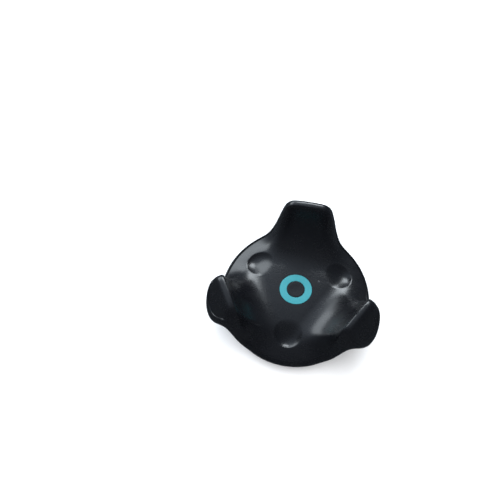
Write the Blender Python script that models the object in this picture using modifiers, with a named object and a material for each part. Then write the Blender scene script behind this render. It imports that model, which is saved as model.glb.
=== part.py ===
"""Three-winged motion tracker for virtual reality, with its inner parts.

Metres, +Z up. The origin is on the axis of the tripod socket, in the plane that the tracker stands on.
One wing points along +Y, and the other two lie 120 degrees to each side of it.
"""

import math

import bmesh
import bpy
from mathutils import Matrix, Vector

MM = 0.001
GAP = 0.3 * MM
WING_ANGLES = [math.radians(a) for a in (90, 210, 330)]
VALLEY_ANGLES = [math.radians(a) for a in (30, 150, 270)]

# Outer form
WING_RADIUS = 49.825 * MM
DISC_RADIUS = 40.6 * MM
TOTAL_HEIGHT = 42.27 * MM
DISH_HEIGHT = 17.1 * MM
DISH_DROP = 7.2 * MM
WING_FULL = math.radians(1)
WING_GONE = math.radians(34.5)
RAMP_START = 13.0 * MM
RAMP_LENGTH = 25.1 * MM
RAMP_RISE = 44.5 * MM
CREST_RADIUS = 38.8 * MM
CREST_ROUNDING = 5.0 * MM
CREST_BEND = 8.0 * MM
CREST_INNER_REACH = 3.0 * MM
FACET_PLACE = 41.2 * MM
FACET_TOP = 41.9 * MM
FACET_SLOPE = 1.95
FACET_ROUNDING = 3.0 * MM
CREST_HALF_WIDTH = 15.6 * MM
FOOT_HALF_WIDTH = 20.0 * MM
FOOT_PLACE = 18.0 * MM
SIDE_STEEPNESS = 8
EDGE_ROLL = 1.7 * MM
DIMPLE_PLACE = 25.0 * MM
DIMPLE_RADIUS = 7.6 * MM
DIMPLE_DEPTH = 3.6 * MM
WALL = 1.4 * MM
SEAM_BAND = 0.6 * MM

# Base
BASE_HEIGHT = 0.3 * MM
BASE_RADIUS = 24.5 * MM
UNDERSIDE_STRAIGHTNESS = 0.85
PAD_INNER = 16.5 * MM
PAD_OUTER = 22.9 * MM
PAD_THICKNESS = 0.8 * MM
SOCKET_RADIUS = 3.175 * MM
SOCKET_DEPTH = 4.6 * MM
NUT_RADIUS = 4.8 * MM
NUT_TOP = 5.5 * MM
NUT_FLANGE_RADIUS = 6.6 * MM
NUT_FLANGE = (2.2 * MM, 3.1 * MM)
PIN_PLACE = 12.0 * MM
PIN_RADIUS = 1.8 * MM
PIN_TOP = 1.4 * MM

# Button
BUTTON_HOLE = 9.0 * MM
BUTTON_RADIUS = 8.7 * MM
BUTTON_FLANGE_RADIUS = 10.3 * MM
BUTTON_FLANGE = (14.55 * MM, 15.2 * MM)
RING_SEAT = 16.3 * MM
RING_INNER = 4.9 * MM

# Screws and posts
SCREW_PLACE = 20.0 * MM
POST_RADIUS = 2.6 * MM
POST_BOTTOM = 4.9 * MM
SCREW_RADIUS = 1.0 * MM
SCREW_HEAD_RADIUS = 2.0 * MM
SCREW_HEAD = (1.35 * MM, 2.9 * MM)
SCREW_END = 10.0 * MM

# Boards
BOARD_BOTTOM = 11.7 * MM
BOARD_TOP = 12.7 * MM
BOARD_VALLEY = 21.8 * MM
BOARD_LOBE = 31.5 * MM
ON_BOARD = BOARD_TOP + GAP
SENSOR_SIZE = (2.4 * MM, 2.4 * MM, 0.8 * MM)

# Side port
USB_WIDTH = 7.5 * MM
USB_BOTTOM = 4.6 * MM
USB_TOP = 7.2 * MM
USB_INNER = 33.0 * MM
USB_OUTER = 38.2 * MM

# Status light
LIGHT_DISTANCE = 13.5 * MM
LIGHT_RADIUS = 0.6 * MM

# Contacts
CONTACT_PLACE = -11.2 * MM
CONTACT_PITCH = 2.4 * MM
CONTACT_COUNT = 6

SEGMENTS = 72
TOP_ROWS = (0.0, 0.13, 0.25, 0.35, 0.44, 0.53, 0.62, 0.69, 0.725, 0.7614, 0.8, 0.84, 0.88, 0.94, 1.0)
ROLL_STEPS = 3
BOTTOM_STEPS = 7

PLASTIC = ("black plastic", (0.014, 0.016, 0.021), 0.38, 0.0)
TEAL = ("teal plastic", (0.07, 0.37, 0.43), 0.4, 0.0)
RUBBER = ("black rubber", (0.01, 0.01, 0.011), 0.85, 0.0)
STEEL = ("steel", (0.55, 0.55, 0.54), 0.3, 1.0)
GOLD = ("gold plating", (0.85, 0.62, 0.28), 0.25, 1.0)
BOARD = ("circuit board", (0.01, 0.09, 0.04), 0.5, 0.0)
CHIP = ("chip resin", (0.02, 0.02, 0.022), 0.55, 0.0)
FOIL = ("battery foil", (0.45, 0.46, 0.48), 0.35, 0.7)
FOAM = ("foam", (0.05, 0.05, 0.055), 0.95, 0.0)
FLEX = ("polyimide", (0.35, 0.13, 0.02), 0.4, 0.0)
SMOKE = ("smoked plastic", (0.04, 0.045, 0.05), 0.2, 0.0)
CERAMIC = ("ceramic", (0.62, 0.6, 0.55), 0.5, 0.0)
SENSOR = ("sensor resin", (0.03, 0.01, 0.015), 0.2, 0.0)


def clear_scene():
    for item in list(bpy.data.objects):
        bpy.data.objects.remove(item, do_unlink=True)


def new_collection(name):
    collection = bpy.data.collections.new(name)
    bpy.context.scene.collection.children.link(collection)
    return collection


def material(look):
    name, colour, roughness, metallic = look
    found = bpy.data.materials.get(name)
    if found:
        return found
    made = bpy.data.materials.new(name)
    made.use_nodes = True
    shader = made.node_tree.nodes["Principled BSDF"]
    shader.inputs["Base Color"].default_value = (*colour, 1.0)
    shader.inputs["Roughness"].default_value = roughness
    shader.inputs["Metallic"].default_value = metallic
    return made


def put(item, collection):
    """Move an object from wherever it is linked into one collection."""
    for owner in list(item.users_collection):
        owner.objects.unlink(item)
    collection.objects.link(item)


def finish(item, name, look):
    """Name a part, give it its material and put it with the tracker's parts."""
    item.name = name
    item.data.name = name
    item.data.materials.clear()
    item.data.materials.append(material(look))
    put(item, PARTS)
    return item


def hide(item, name):
    """Keep a cutter or a piece that is only joined to another out of the model."""
    item.name = name
    item.hide_render = True
    item.display_type = "WIRE"
    put(item, CUTTERS)
    return item


def cylinder(radius, bottom, top, place=(0.0, 0.0), vertices=24):
    centre = (place[0], place[1], (bottom + top) / 2)
    bpy.ops.mesh.primitive_cylinder_add(
        vertices=vertices, radius=radius, depth=top - bottom, location=centre)
    item = bpy.context.object
    item.data.shade_smooth()
    item.data.set_sharp_from_angle(angle=math.radians(40))
    return item


def box(size, centre, turn=Matrix()):
    """A box of a given size, its centre and its turn as a matrix."""
    bpy.ops.mesh.primitive_cube_add(size=1.0)
    item = bpy.context.object
    item.data.transform(Matrix.Diagonal((*size, 1.0)))
    item.matrix_world = Matrix.Translation(centre) @ turn.to_4x4()
    return item


def bevel(item, width, segments=2):
    modifier = item.modifiers.new("rounded edges", "BEVEL")
    modifier.width = width
    modifier.segments = segments
    modifier.limit_method = "ANGLE"
    modifier.angle_limit = math.radians(40)


def turned(profile, place=(0.0, 0.0), height=0.0, steps=48):
    """Turn a profile of (radius, height) points, listed down its outer side, about the Z axis."""
    mesh = bpy.data.meshes.new("profile")
    closed = profile[0][0] > 0.0
    count = len(profile)
    edges = [(i, (i + 1) % count) for i in range(count if closed else count - 1)]
    mesh.from_pydata([(r, 0.0, z - height) for r, z in profile], edges, [])
    item = bpy.data.objects.new("turned", mesh)
    bpy.context.scene.collection.objects.link(item)
    item.location = (place[0], place[1], height)
    screw = item.modifiers.new("turn", "SCREW")
    screw.steps = steps
    screw.render_steps = steps
    screw.use_merge_vertices = True
    screw.merge_threshold = 0.00001
    return item


def boolean(target, tool, operation):
    modifier = target.modifiers.new(tool.name, "BOOLEAN")
    modifier.operation = operation
    modifier.object = tool


def cut(target, tool, name):
    boolean(target, hide(tool, name), "DIFFERENCE")


def join(target, tool, name):
    boolean(target, hide(tool, name), "UNION")


def polar(radius, angle):
    return Vector((radius * math.cos(angle), radius * math.sin(angle)))


def ease(t):
    t = min(max(t, 0.0), 1.0)
    return t * t * (3.0 - 2.0 * t)


def soft_min(a, b, width):
    """The lower of two heights, with the corner between them rounded."""
    overlap = max(width - abs(a - b), 0.0) / width
    return min(a, b) - overlap * overlap * width * 0.25


def off_axis(angle):
    """Angle from the nearest wing's axis, from -60 to 60 degrees."""
    third = math.radians(120)
    return (angle - WING_ANGLES[0] + third / 2) % third - third / 2


def outline(angle):
    """Radius of the widest edge: round between the wings, and out to the tip circle at each wing."""
    share = 1.0 - ease((abs(off_axis(angle)) - WING_FULL) / (WING_GONE - WING_FULL))
    return DISC_RADIUS + (WING_RADIUS - DISC_RADIUS) * share


def dish(radius):
    return DISH_HEIGHT - DISH_DROP * (radius / DISC_RADIUS) ** 3


def wing_lift(along):
    """Height that a wing adds to the dish: a rising ramp, a narrow crest, then a steep outer face."""
    share = min((along - RAMP_START) / RAMP_LENGTH, 0.985)
    ramp = RAMP_RISE * (1.0 - math.sqrt(1.0 - share * share))
    out = max(along - CREST_RADIUS, -CREST_INNER_REACH)
    crest = TOTAL_HEIGHT - out * out / (2.0 * CREST_BEND)
    facet = FACET_TOP - FACET_SLOPE * (along - FACET_PLACE)
    outer = soft_min(crest, facet, FACET_ROUNDING) - dish(along)
    return max(soft_min(ramp, outer, CREST_ROUNDING), 0.0)


def wing_side(along, across):
    """Share of a wing's lift that is left at a distance across it; the foot is wider than the crest."""
    rise = ease((along - FOOT_PLACE) / (CREST_RADIUS - FOOT_PLACE))
    half_width = FOOT_HALF_WIDTH + (CREST_HALF_WIDTH - FOOT_HALF_WIDTH) * rise
    return 1.0 / (1.0 + (abs(across) / half_width) ** SIDE_STEEPNESS)


def dimple_depth(out, across):
    """Depth of a dimple, deepest on its rim side, where its edge is crisp, and fading inwards."""
    share = math.hypot(out, across) / DIMPLE_RADIUS
    if share >= 1.0:
        return 0.0
    lean = 0.5 + 0.5 * out / DIMPLE_RADIUS
    return DIMPLE_DEPTH * (1.0 - share ** 2) * lean


def top_height(x, y):
    """Height of the top cover's outer surface over a point of the base plane."""
    height = dish(math.hypot(x, y))
    for angle in WING_ANGLES:
        along = x * math.cos(angle) + y * math.sin(angle)
        across = y * math.cos(angle) - x * math.sin(angle)
        if along > RAMP_START:
            height += wing_lift(along) * wing_side(along, across)
    for angle in VALLEY_ANGLES:
        out = x * math.cos(angle) + y * math.sin(angle) - DIMPLE_PLACE
        across = y * math.cos(angle) - x * math.sin(angle)
        height -= dimple_depth(out, across)
    return height


def seam_height(angle):
    """Height of the seam between the covers, which runs along the widest edge."""
    edge = polar(outline(angle), angle)
    return top_height(edge.x, edge.y) - EDGE_ROLL


def seam_gap(angle):
    """Height of the gap under the seam, larger where the seam climbs, so that its width stays the same."""
    step = math.radians(1.0)
    climb = (seam_height(angle + step) - seam_height(angle - step)) / (2.0 * step * outline(angle))
    return GAP * math.hypot(1.0, 2.3 * climb)


def top_section(angle):
    """One radial section of the top cover, from the button's hole out and down to the seam."""
    reach = outline(angle) - EDGE_ROLL
    points = []
    for share in TOP_ROWS:
        radius = BUTTON_HOLE + (reach - BUTTON_HOLE) * share
        flat = polar(radius, angle)
        points.append((flat.x, flat.y, top_height(flat.x, flat.y)))
    for step in range(1, ROLL_STEPS + 1):
        turn = math.radians(90) * step / ROLL_STEPS
        flat = polar(reach + EDGE_ROLL * math.sin(turn), angle)
        drop = EDGE_ROLL * (1.0 - math.cos(turn))
        points.append((flat.x, flat.y, top_height(flat.x, flat.y) - drop + SEAM_BAND))
    points.append((points[-1][0], points[-1][1], seam_height(angle)))
    return points


def bottom_section(angle):
    """One radial section of the bottom cover, from the socket's hole out and up to the seam."""
    seam = seam_height(angle) - seam_gap(angle)
    rise = seam - SEAM_BAND - BASE_HEIGHT
    wing = 1.0 - ease((abs(off_axis(angle)) - math.radians(12)) / math.radians(33))
    straight = UNDERSIDE_STRAIGHTNESS * wing
    hole = polar(NUT_RADIUS + GAP, angle)
    points = [(hole.x, hole.y, BASE_HEIGHT)]
    for step in range(BOTTOM_STEPS + 1):
        turn = math.radians(90) * step / BOTTOM_STEPS
        flat = polar(BASE_RADIUS + (outline(angle) - BASE_RADIUS) * math.sin(turn), angle)
        share = (1.0 - straight) * (1.0 - math.cos(turn)) + straight * math.sin(turn)
        points.append((flat.x, flat.y, BASE_HEIGHT + rise * share))
    points.append((points[-1][0], points[-1][1], seam))
    return points


def loft(section, faces_up):
    """Join the radial sections into one open surface."""
    sections = [section(math.radians(360) * i / SEGMENTS) for i in range(SEGMENTS)]
    rows = len(sections[0])
    vertices = [point for points in sections for point in points]
    faces = []
    for i in range(SEGMENTS):
        here = i * rows
        beside = ((i + 1) % SEGMENTS) * rows
        for row in range(rows - 1):
            face = (here + row, here + row + 1, beside + row + 1, beside + row)
            faces.append(face if faces_up else face[::-1])
    mesh = bpy.data.meshes.new("cover")
    mesh.from_pydata(vertices, [], faces)
    mesh.shade_smooth()
    item = bpy.data.objects.new("cover", mesh)
    bpy.context.scene.collection.objects.link(item)
    shell = item.modifiers.new("wall", "SOLIDIFY")
    shell.thickness = WALL
    shell.offset = -1.0
    return item


def make_top_cover():
    """Dish, wings and dimples in one moulding, with three screw posts and the light pipe's hole."""
    cover = finish(loft(top_section, True), "top_cover", PLASTIC)
    for number, angle in enumerate(WING_ANGLES, 1):
        place = polar(SCREW_PLACE, angle)
        join(cover, cylinder(POST_RADIUS, POST_BOTTOM, 17.0 * MM, place, 20), f"post_{number}")
        bore = cylinder(SCREW_RADIUS + GAP, 4.0 * MM, SCREW_END + GAP, place, 12)
        cut(cover, bore, f"post_bore_{number}")
    light = polar(LIGHT_DISTANCE, VALLEY_ANGLES[0])
    pipe = cylinder(LIGHT_RADIUS + GAP, 12.0 * MM, 20.0 * MM, light, 16)
    cut(cover, pipe, "light_pipe_hole")
    return cover


def make_bottom_cover():
    """Bowl with the pad's recess, the contact and port openings, a pin hole and three screw seats."""
    cover = finish(loft(bottom_section, False), "bottom_cover", PLASTIC)
    for number, angle in enumerate(WING_ANGLES, 1):
        boss = cylinder(3.4 * MM, 1.3 * MM, POST_BOTTOM - GAP, polar(SCREW_PLACE, angle), 20)
        join(cover, boss, f"boss_{number}")
    low = -1.0 * MM
    high = BASE_HEIGHT + PAD_THICKNESS
    inner = PAD_INNER - GAP
    outer = PAD_OUTER + GAP
    recess = turned([(outer, high), (outer, low), (inner, low), (inner, high)], steps=72)
    cut(cover, recess, "pad_recess")
    for number, angle in enumerate(WING_ANGLES, 1):
        place = polar(SCREW_PLACE, angle)
        seat = cylinder(SCREW_HEAD_RADIUS + GAP, low, SCREW_HEAD[1] + GAP, place, 20)
        cut(cover, seat, f"screw_seat_{number}")
        hole = cylinder(SCREW_RADIUS + GAP, low, 8.0 * MM, place, 12)
        cut(cover, hole, f"screw_hole_{number}")
    window = box((15.8 * MM, 4.8 * MM, 8.0 * MM), (0.0, CONTACT_PLACE, 0.0))
    cut(cover, window, "contact_window")
    cut(cover, cylinder(PIN_RADIUS, low, PIN_TOP, (0.0, PIN_PLACE), 20), "pin_hole")
    side = VALLEY_ANGLES[0]
    port = polar(USB_INNER + 5.0 * MM, side)
    size = (12.0 * MM, USB_WIDTH + 2 * GAP, USB_TOP - USB_BOTTOM + 2 * GAP)
    centre = (port.x, port.y, (USB_TOP + USB_BOTTOM) / 2)
    opening = box(size, centre, Matrix.Rotation(side, 4, "Z"))
    cut(cover, opening, "port_opening")
    return cover


def make_button():
    """Round cap with a hidden flange, and a coloured ring let into it."""
    low, high = BUTTON_FLANGE
    rim = BUTTON_FLANGE_RADIUS
    boss = RING_INNER - GAP
    top = dish(BUTTON_RADIUS)
    profile = [(0.0, top), (boss, top), (boss, RING_SEAT), (BUTTON_RADIUS, RING_SEAT)]
    profile += [(BUTTON_RADIUS, high), (rim, high), (rim, low), (0.0, low)]
    finish(turned(profile, height=low), "power_button", PLASTIC)
    seat = RING_SEAT + GAP
    ring = [(BUTTON_RADIUS, top), (BUTTON_RADIUS, seat), (RING_INNER, seat), (RING_INNER, top)]
    finish(turned(ring, height=low), "button_ring", TEAL)


def make_switch():
    """Small push switch on the board, under the button, and its plunger."""
    height = 0.9 * MM
    body = box((4.5 * MM, 4.5 * MM, height), (0.0, 0.0, ON_BOARD + height / 2))
    finish(body, "power_switch", CHIP)
    cut(body, cylinder(1.3 * MM, ON_BOARD + 0.12 * MM, 16.0 * MM, vertices=20), "plunger_hole")
    plunger = cylinder(0.9 * MM, ON_BOARD + 0.6 * MM, BUTTON_FLANGE[0] - GAP, vertices=20)
    finish(plunger, "switch_plunger", CERAMIC)


def make_light():
    """Light pipe through the dish, and the status light under it."""
    place = polar(LIGHT_DISTANCE, VALLEY_ANGLES[0])
    top = dish(LIGHT_DISTANCE) - 0.05 * MM
    wide = 1.5 * MM
    profile = [(0.0, top), (LIGHT_RADIUS, top), (LIGHT_RADIUS, 14.6 * MM), (wide, 14.6 * MM)]
    profile += [(wide, 14.0 * MM), (0.0, 14.0 * MM)]
    finish(turned(profile, place, steps=24), "light_pipe", SMOKE)
    height = 0.6 * MM
    lamp = box((1.6 * MM, 0.9 * MM, height), (*place, ON_BOARD + height / 2))
    finish(lamp, "status_light", CERAMIC)


def make_base():
    """Friction pad, tripod nut, screws and the contact block with its pads."""
    pad = [(PAD_OUTER, PAD_THICKNESS), (PAD_OUTER, 0.0), (PAD_INNER, 0.0), (PAD_INNER, PAD_THICKNESS)]
    finish(turned(pad, steps=72), "docking_pad", RUBBER)
    low, high = NUT_FLANGE
    bottom = BASE_HEIGHT
    roof = bottom + SOCKET_DEPTH
    nut = [(0.0, NUT_TOP), (NUT_RADIUS, NUT_TOP), (NUT_RADIUS, high), (NUT_FLANGE_RADIUS, high)]
    nut += [(NUT_FLANGE_RADIUS, low), (NUT_RADIUS, low), (NUT_RADIUS, bottom)]
    nut += [(SOCKET_RADIUS, bottom), (SOCKET_RADIUS, roof), (0.0, roof)]
    finish(turned(nut), "tripod_nut", STEEL)
    for number, angle in enumerate(WING_ANGLES, 1):
        seat, head = SCREW_HEAD
        screw = [(0.0, SCREW_END), (SCREW_RADIUS, SCREW_END), (SCREW_RADIUS, head)]
        screw += [(SCREW_HEAD_RADIUS, head), (SCREW_HEAD_RADIUS, seat), (0.0, seat)]
        finish(turned(screw, polar(SCREW_PLACE, angle), steps=20), f"cover_screw_{number}", STEEL)
    face = 0.6 * MM
    back = 3.4 * MM
    block = box((15.2 * MM, 4.2 * MM, back - face), (0.0, CONTACT_PLACE, (face + back) / 2))
    finish(block, "contact_block", CHIP)
    for number in range(1, CONTACT_COUNT + 1):
        x = (number - (CONTACT_COUNT + 1) / 2) * CONTACT_PITCH
        place = (x, CONTACT_PLACE)
        cut(block, cylinder(1.0 * MM, 0.0, 1.8 * MM, place, 16), f"contact_hole_{number}")
        finish(cylinder(0.7 * MM, 0.45 * MM, 1.5 * MM, place, 16), f"contact_pad_{number}", GOLD)


def make_port():
    """Side port: a folded steel shell with its tongue, under a small board that also carries a sensor."""
    side = VALLEY_ANGLES[0]
    turn = Matrix.Rotation(side, 4, "Z")
    length = USB_OUTER - USB_INNER
    height = USB_TOP - USB_BOTTOM
    middle = polar((USB_INNER + USB_OUTER) / 2, side)
    centre = Vector((middle.x, middle.y, (USB_TOP + USB_BOTTOM) / 2))
    shell = box((length, USB_WIDTH, height), centre, turn)
    finish(shell, "usb_shell", STEEL)
    wall = 0.35 * MM
    forward = Vector((*polar(1.0, side), 0.0))
    inside = (length, USB_WIDTH - 2 * wall, height - 2 * wall)
    cut(shell, box(inside, centre + forward * wall * 2, turn), "port_inside")
    tongue = box((3.6 * MM, 3.8 * MM, 0.55 * MM), centre - forward * 0.1 * MM, turn)
    finish(tongue, "usb_tongue", CHIP)
    board = polar(29.75 * MM, side)
    finish(box((14.5 * MM, 12.0 * MM, 0.8 * MM), (board.x, board.y, 7.9 * MM), turn), "usb_board", BOARD)


def board_outline(angle):
    wing = 1.0 - ease(abs(off_axis(angle)) / math.radians(42))
    return BOARD_VALLEY + (BOARD_LOBE - BOARD_VALLEY) * wing


def make_main_board():
    """Three-lobed board whose lobes reach into the wings, with clearance round the screw posts."""
    count = 72
    curve = bpy.data.curves.new("main_board", "CURVE")
    curve.dimensions = "2D"
    curve.fill_mode = "BOTH"
    curve.extrude = (BOARD_TOP - BOARD_BOTTOM) / 2
    spline = curve.splines.new("POLY")
    spline.points.add(count - 1)
    spline.use_cyclic_u = True
    for i, point in enumerate(spline.points):
        angle = math.radians(360) * i / count
        flat = polar(board_outline(angle), angle)
        point.co = (flat.x, flat.y, 0.0, 1.0)
    board = as_mesh(curve, (0.0, 0.0, (BOARD_BOTTOM + BOARD_TOP) / 2))
    finish(board, "main_board", BOARD)
    for number, angle in enumerate(WING_ANGLES, 1):
        place = polar(SCREW_PLACE, angle)
        tool = cylinder(POST_RADIUS + 0.4 * MM, 10.0 * MM, 14.0 * MM, place, 20)
        cut(board, tool, f"board_hole_{number}")


def as_mesh(curve, location):
    """Turn a curve into a closed mesh object."""
    source = bpy.data.objects.new("curve", curve)
    bpy.context.scene.collection.objects.link(source)
    bpy.context.view_layer.update()
    evaluated = source.evaluated_get(bpy.context.evaluated_depsgraph_get())
    mesh = bpy.data.meshes.new_from_object(evaluated)
    bpy.data.objects.remove(source, do_unlink=True)
    item = bpy.data.objects.new("mesh", mesh)
    bpy.context.scene.collection.objects.link(item)
    item.location = location
    weld(mesh)
    return item


def weld(mesh):
    """Close the seams that a curve leaves between its caps and its sides."""
    work = bmesh.new()
    work.from_mesh(mesh)
    bmesh.ops.remove_doubles(work, verts=work.verts, dist=0.000001)
    work.to_mesh(mesh)
    work.free()


def board_part(name, look, size, place, bottom=ON_BOARD, angle=0.0):
    """A box-shaped part that stands on a board, its place given as a distance and an angle."""
    flat = polar(*place)
    turn = Matrix.Rotation(angle, 4, "Z")
    item = box(size, (flat.x, flat.y, bottom + size[2] / 2), turn)
    return finish(item, name, look)


def make_electronics():
    """Battery with its foam, connector and lead, and the larger parts on the main board."""
    battery = box((28.0 * MM, 33.0 * MM, 4.6 * MM), (0.0, 0.0, 8.2 * MM))
    finish(battery, "battery", FOIL)
    bevel(battery, 1.2 * MM)
    finish(box((24.0 * MM, 28.0 * MM, 0.6 * MM), (0.0, 0.0, 11.1 * MM)), "battery_foam", FOAM)
    one, two, three = WING_ANGLES
    lobe = 25.8 * MM
    shield = board_part("radio_shield", STEEL, (5.0 * MM, 9.0 * MM, 1.6 * MM), (lobe, two), angle=two)
    bevel(shield, 0.3 * MM)
    board_part("processor", CHIP, (5.5 * MM, 5.5 * MM, 1.0 * MM), (lobe, three), angle=three)
    board_part("motion_sensor", CHIP, (3.0 * MM, 3.0 * MM, 0.9 * MM), (lobe, one))
    board_part("charger_chip", CHIP, (4.0 * MM, 4.0 * MM, 0.8 * MM), (17.0 * MM, math.radians(165)))
    antenna = math.radians(112)
    board_part("antenna", CERAMIC, (1.6 * MM, 6.0 * MM, 1.4 * MM), (22.5 * MM, antenna), angle=antenna)
    bottom = BOARD_BOTTOM - GAP - 1.4 * MM
    place = (19.2 * MM, VALLEY_ANGLES[2])
    board_part("battery_connector", CERAMIC, (5.0 * MM, 2.6 * MM, 1.4 * MM), place, bottom)
    make_battery_lead()


def tube(name, look, points, radius):
    """A round lead along a smooth route."""
    curve = bpy.data.curves.new(name, "CURVE")
    curve.dimensions = "3D"
    curve.bevel_depth = radius
    curve.bevel_resolution = 2
    curve.use_fill_caps = True
    spline = curve.splines.new("POLY")
    spline.points.add(len(points) - 1)
    for point, place in zip(spline.points, points):
        point.co = (*place, 1.0)
    return finish(as_mesh(curve, (0.0, 0.0, 0.0)), name, look)


def make_battery_lead():
    """Short lead from the battery's end round to the connector under the board."""
    centre_y = -17.0 * MM
    centre_z = 9.2 * MM
    bend = 2.0 * MM
    points = [(0.0, -16.8 * MM - 0.15 * MM, centre_z - bend)]
    for step in range(7):
        turn = math.radians(-90 + 15 * step)
        y = centre_y - 0.2 * MM - bend * math.cos(turn)
        points.append((0.0, y, centre_z + bend * math.sin(turn)))
    points.append((0.0, centre_y - 0.2 * MM - bend, 9.7 * MM))
    tube("battery_lead", RUBBER, points, 0.55 * MM)


def wing_point(along, depth):
    """A point under the outer surface of a wing, on its middle plane, as (distance out, height)."""
    step = 0.1 * MM
    height = top_height(0.0, along)
    slope = (top_height(0.0, along + step) - height) / step
    normal = Vector((-slope, 1.0)).normalized()
    return Vector((along, height)) - normal * depth


def wing_board(name, angle, start, end, depth, width, sensor):
    """A board that follows one face of a wing from inside, with a light sensor on it."""
    low = wing_point(start, depth)
    high = wing_point(end, depth)
    along = (high - low).normalized()
    length = (high - low).length
    middle = (low + high) / 2
    forward = Vector((*polar(1.0, angle), 0.0))
    up = Vector((0.0, 0.0, 1.0))
    ramp = forward * along.x + up * along.y
    across = Vector((*polar(1.0, angle + math.radians(90)), 0.0))
    normal = ramp.cross(across)
    if normal.z < 0.0:
        normal = -normal
        across = -across
    turn = Matrix((ramp, across, normal)).transposed()
    centre = forward * middle.x + up * middle.y
    thick = 0.7 * MM
    board = box((length, width, thick), centre, turn)
    finish(board, f"{name}_board_{sensor}", BOARD)
    lift = thick / 2 + GAP + SENSOR_SIZE[2] / 2
    eye = box(SENSOR_SIZE, centre + normal * lift, turn)
    finish(eye, f"{name}_sensor_{sensor}", SENSOR)


def make_wing_boards():
    for number, angle in enumerate(WING_ANGLES, 1):
        wing_board("wing_face", angle, 30.2 * MM, 35.0 * MM, 3.6 * MM, 17.0 * MM, number)
        wing_board("wing_end", angle, 44.0 * MM, 48.0 * MM, 3.5 * MM, 14.0 * MM, number)
        make_flex(angle, number)


def make_flex(angle, number):
    """Flexible lead from a lobe of the main board up to the wing's board."""
    width = 5.0 * MM
    thickness = 0.2 * MM
    start = Vector((29.2 * MM, BOARD_TOP + GAP + thickness))
    knee = Vector((33.0 * MM, BOARD_TOP + 0.6 * MM))
    end = wing_point(30.2 * MM, 3.6 * MM) - Vector((0.25 * MM, 0.9 * MM))
    steps = 8
    route = []
    for step in range(steps + 1):
        t = step / steps
        route.append(start * (1 - t) ** 2 + knee * 2 * t * (1 - t) + end * t * t)
    forward = polar(1.0, angle)
    across = polar(width / 2, angle + math.radians(90))
    vertices = []
    for point in route:
        flat = forward * point.x
        vertices.append((flat.x + across.x, flat.y + across.y, point.y))
        vertices.append((flat.x - across.x, flat.y - across.y, point.y))
    faces = [(2 * i, 2 * i + 1, 2 * i + 3, 2 * i + 2) for i in range(steps)]
    mesh = bpy.data.meshes.new("flex")
    mesh.from_pydata(vertices, [], faces)
    item = bpy.data.objects.new("flex", mesh)
    bpy.context.scene.collection.objects.link(item)
    finish(item, f"wing_flex_{number}", FLEX)
    sheet = item.modifiers.new("thickness", "SOLIDIFY")
    sheet.thickness = thickness
    sheet.offset = 0.0


def make_dimple_boards():
    """A light sensor behind each dimple, on a small board of its own except over the port."""
    for number, angle in enumerate(VALLEY_ANGLES, 1):
        place = polar(DIMPLE_PLACE, angle)
        top = 8.3 * MM
        if number > 1:
            board = cylinder(4.4 * MM, top - 0.6 * MM, top, place)
            finish(board, f"dimple_board_{number}", BOARD)
        eye = board_part(f"dimple_sensor_{number}", SENSOR, SENSOR_SIZE, (DIMPLE_PLACE, angle), top + GAP)
        eye.rotation_euler.z = angle


clear_scene()
PARTS = new_collection("motion_tracker")
CUTTERS = new_collection("cutters")
make_top_cover()
make_bottom_cover()
make_button()
make_switch()
make_light()
make_base()
make_port()
make_main_board()
make_electronics()
make_wing_boards()
make_dimple_boards()
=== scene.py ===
"""Looks of the three-winged motion tracker: fine shells, fine small parts, materials, light and camera.

Metres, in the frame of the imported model. The covers follow the same height functions as the model's.
"""
import math

import bmesh
import bpy
import numpy as np
from mathutils import Matrix, Vector


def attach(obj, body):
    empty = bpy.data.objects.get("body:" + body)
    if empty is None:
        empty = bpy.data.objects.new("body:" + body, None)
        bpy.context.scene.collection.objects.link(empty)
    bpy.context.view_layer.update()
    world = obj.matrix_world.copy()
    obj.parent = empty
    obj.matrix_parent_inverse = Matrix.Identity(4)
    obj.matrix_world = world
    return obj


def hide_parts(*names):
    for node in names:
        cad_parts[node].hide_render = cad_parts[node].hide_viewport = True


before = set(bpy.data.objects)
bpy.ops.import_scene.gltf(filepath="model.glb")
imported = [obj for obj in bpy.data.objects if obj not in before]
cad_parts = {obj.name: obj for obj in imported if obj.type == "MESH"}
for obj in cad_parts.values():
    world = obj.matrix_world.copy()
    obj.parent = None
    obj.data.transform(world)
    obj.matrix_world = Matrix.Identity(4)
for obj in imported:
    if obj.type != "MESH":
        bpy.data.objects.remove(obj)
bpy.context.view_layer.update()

MM = 0.001
WING_ANGLES = [math.radians(a) for a in (90, 210, 330)]
VALLEY_ANGLES = [math.radians(a) for a in (30, 150, 270)]
THIRD = math.radians(120)

# Outer form, as in the model
WING_RADIUS = 49.825 * MM
DISC_RADIUS = 40.6 * MM
TOTAL_HEIGHT = 42.27 * MM
DISH_HEIGHT = 17.1 * MM
DISH_DROP = 7.2 * MM
WING_FULL = math.radians(1)
WING_GONE = math.radians(34.5)
RAMP_START = 13.0 * MM
RAMP_LENGTH = 25.1 * MM
RAMP_RISE = 44.5 * MM
CREST_RADIUS = 38.8 * MM
CREST_ROUNDING = 5.0 * MM
CREST_BEND = 8.0 * MM
CREST_INNER_REACH = 3.0 * MM
FACET_PLACE = 41.2 * MM
FACET_TOP = 41.9 * MM
FACET_SLOPE = 1.95
FACET_ROUNDING = 3.0 * MM
CREST_HALF_WIDTH = 15.6 * MM
FOOT_HALF_WIDTH = 20.0 * MM
FOOT_PLACE = 18.0 * MM
SIDE_STEEPNESS = 8
EDGE_ROLL = 1.7 * MM
DIMPLE_PLACE = 25.0 * MM
DIMPLE_RADIUS = 7.6 * MM
DIMPLE_DEPTH = 3.6 * MM
WALL = 1.4 * MM
SEAM_BAND = 0.6 * MM
SEAM_WIDTH = 0.16 * MM
BASE_HEIGHT = 0.3 * MM
BASE_RADIUS = 24.5 * MM
UNDERSIDE_STRAIGHTNESS = 0.85
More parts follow.
